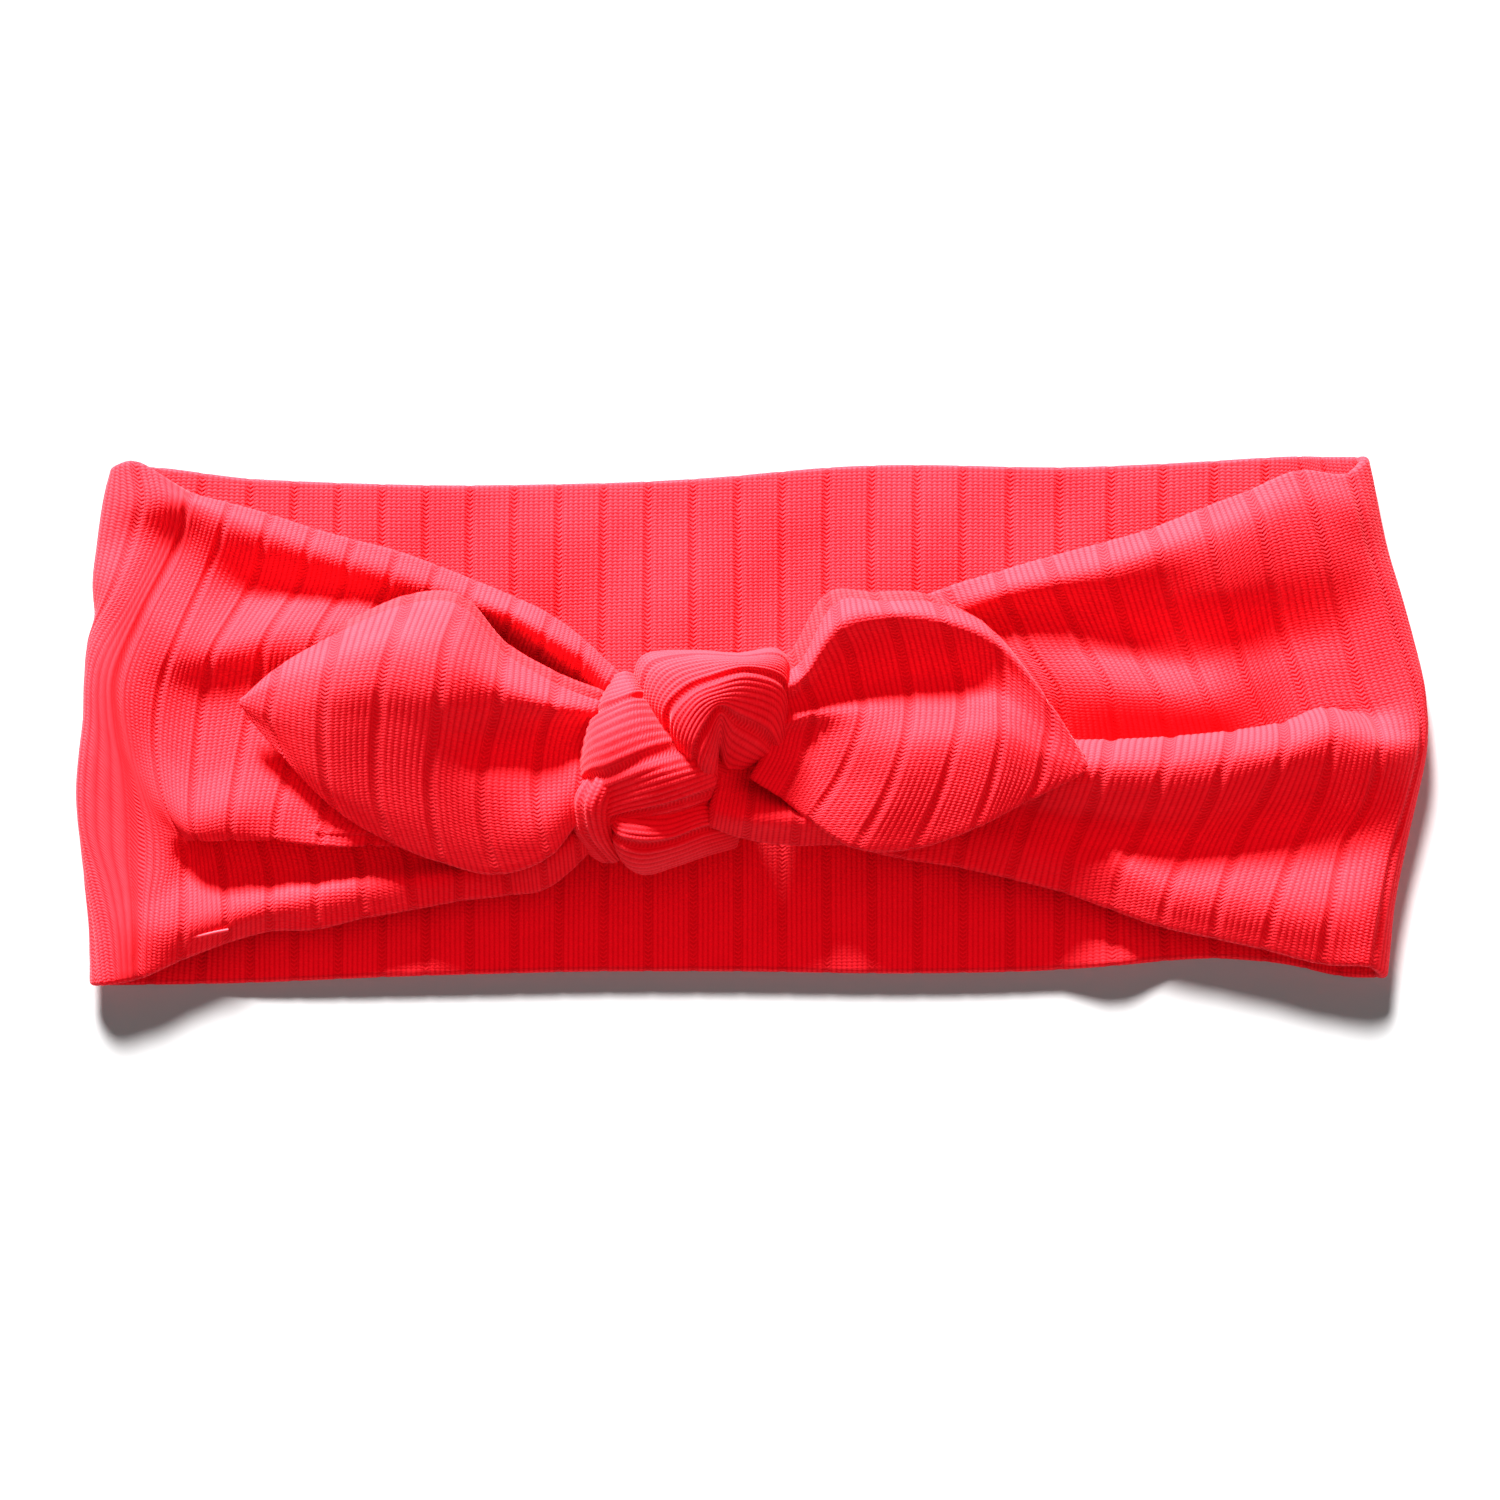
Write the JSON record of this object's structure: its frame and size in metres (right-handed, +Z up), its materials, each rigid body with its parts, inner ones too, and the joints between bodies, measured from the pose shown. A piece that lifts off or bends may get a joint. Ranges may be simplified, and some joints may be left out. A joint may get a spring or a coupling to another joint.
{
  "type": "knotted bow headband",
  "caption": "Wide stretch headband of doubled drop-needle rib knit, closed as a flat loop, with its ends tied in a knot that leaves two leaf-shaped bow ears.",
  "frame": {"origin": "on the surface the band lies on, under the middle of its outline", "axes": "+X along the band, from the side of the longer ear to the side of the shorter ear, +Y across the band, +Z up out of the knotted front"},
  "size_m": [0.2356, 0.0922, 0.0271],
  "materials": {
    "outer_knit": "matte, faint sheen",
    "lining_knit": "matte",
    "thread": "matte"
  },
  "bodies": {
    "back_middle": {"back_middle_outer": "outer_knit", "back_middle_lining": "lining_knit", "back_middle_top_seam": "thread", "back_middle_bottom_seam": "thread"},
    "back_left": {"back_left_outer": "outer_knit", "back_left_lining": "lining_knit", "back_left_top_seam": "thread", "back_left_bottom_seam": "thread", "left_fold_back": "outer_knit"},
    "back_right": {"back_right_outer": "outer_knit", "back_right_lining": "lining_knit", "back_right_top_seam": "thread", "back_right_bottom_seam": "thread", "right_fold_back": "outer_knit"},
    "front_left": {"front_left_outer": "outer_knit", "front_left_lining": "lining_knit", "front_left_top_seam": "thread", "front_left_bottom_seam": "thread", "front_left_pleat": "outer_knit", "closing_stitch": "thread", "left_fold_front": "outer_knit"},
    "front_right": {"front_right_outer": "outer_knit", "front_right_lining": "lining_knit", "front_right_top_seam": "thread", "front_right_bottom_seam": "thread", "front_right_pleat": "outer_knit", "right_fold_front": "outer_knit"},
    "knot": {"left_neck_outer": "outer_knit", "left_neck_lining": "lining_knit", "left_neck_top_seam": "thread", "left_neck_bottom_seam": "thread", "knot_middle_wrap": "outer_knit", "knot_upper_wrap": "outer_knit", "knot_left_roll": "outer_knit", "knot_lower_lobe": "outer_knit", "knot_core": "outer_knit"},
    "right_neck": {"right_neck_outer": "outer_knit", "right_neck_lining": "lining_knit", "right_neck_top_seam": "thread", "right_neck_bottom_seam": "thread"},
    "left_ear": {"left_ear_back": "lining_knit", "left_ear_front": "outer_knit", "left_ear_seam": "thread"},
    "right_ear": {"right_ear_back": "lining_knit", "right_ear_front": "outer_knit", "right_ear_seam": "thread"}
  },
  "joints": [
    {"name": "loop_opening", "type": "hinge", "parent": "back_middle", "child": "back_left", "pos_m": [-0.03933, 0, 0.0023], "axis": [0, 1, 0], "range_deg": [0, 60]},
    {"name": "right_back_bend", "type": "hinge", "parent": "back_middle", "child": "back_right", "pos_m": [0.03933, 0, 0.0023], "axis": [0, -1, 0], "range_deg": [0, 60]},
    {"name": "left_side_fold", "type": "hinge", "parent": "back_left", "child": "front_left", "pos_m": [-0.118, 0, 0.005], "axis": [0, -1, 0], "range_deg": [0, 120]},
    {"name": "right_side_fold", "type": "hinge", "parent": "back_right", "child": "front_right", "pos_m": [0.118, 0, 0.005], "axis": [0, 1, 0], "range_deg": [0, 120]},
    {"name": "left_front_bend", "type": "hinge", "parent": "front_left", "child": "knot", "pos_m": [-0.03933, 0, 0.0077], "axis": [0, 1, 0], "range_deg": [0, 60]},
    {"name": "right_front_bend", "type": "hinge", "parent": "front_right", "child": "right_neck", "pos_m": [0.03933, 0, 0.0077], "axis": [0, -1, 0], "range_deg": [0, 60]},
    {"name": "left_ear_lift", "type": "hinge", "parent": "knot", "child": "left_ear", "pos_m": [-0.032, -0.0078, 0.0149], "axis": [0, 1, 0], "range_deg": [0, 70]},
    {"name": "right_ear_lift", "type": "hinge", "parent": "knot", "child": "right_ear", "pos_m": [0.0076, -0.0015, 0.0149], "axis": [0, -1, 0], "range_deg": [0, 70]}
  ],
  "couplings": [
    {"joint": "right_back_bend", "follows": "loop_opening", "ratio": 1},
    {"joint": "left_side_fold", "follows": "loop_opening", "ratio": 2},
    {"joint": "right_side_fold", "follows": "loop_opening", "ratio": 2},
    {"joint": "left_front_bend", "follows": "loop_opening", "ratio": 1},
    {"joint": "right_front_bend", "follows": "loop_opening", "ratio": 1}
  ]
}
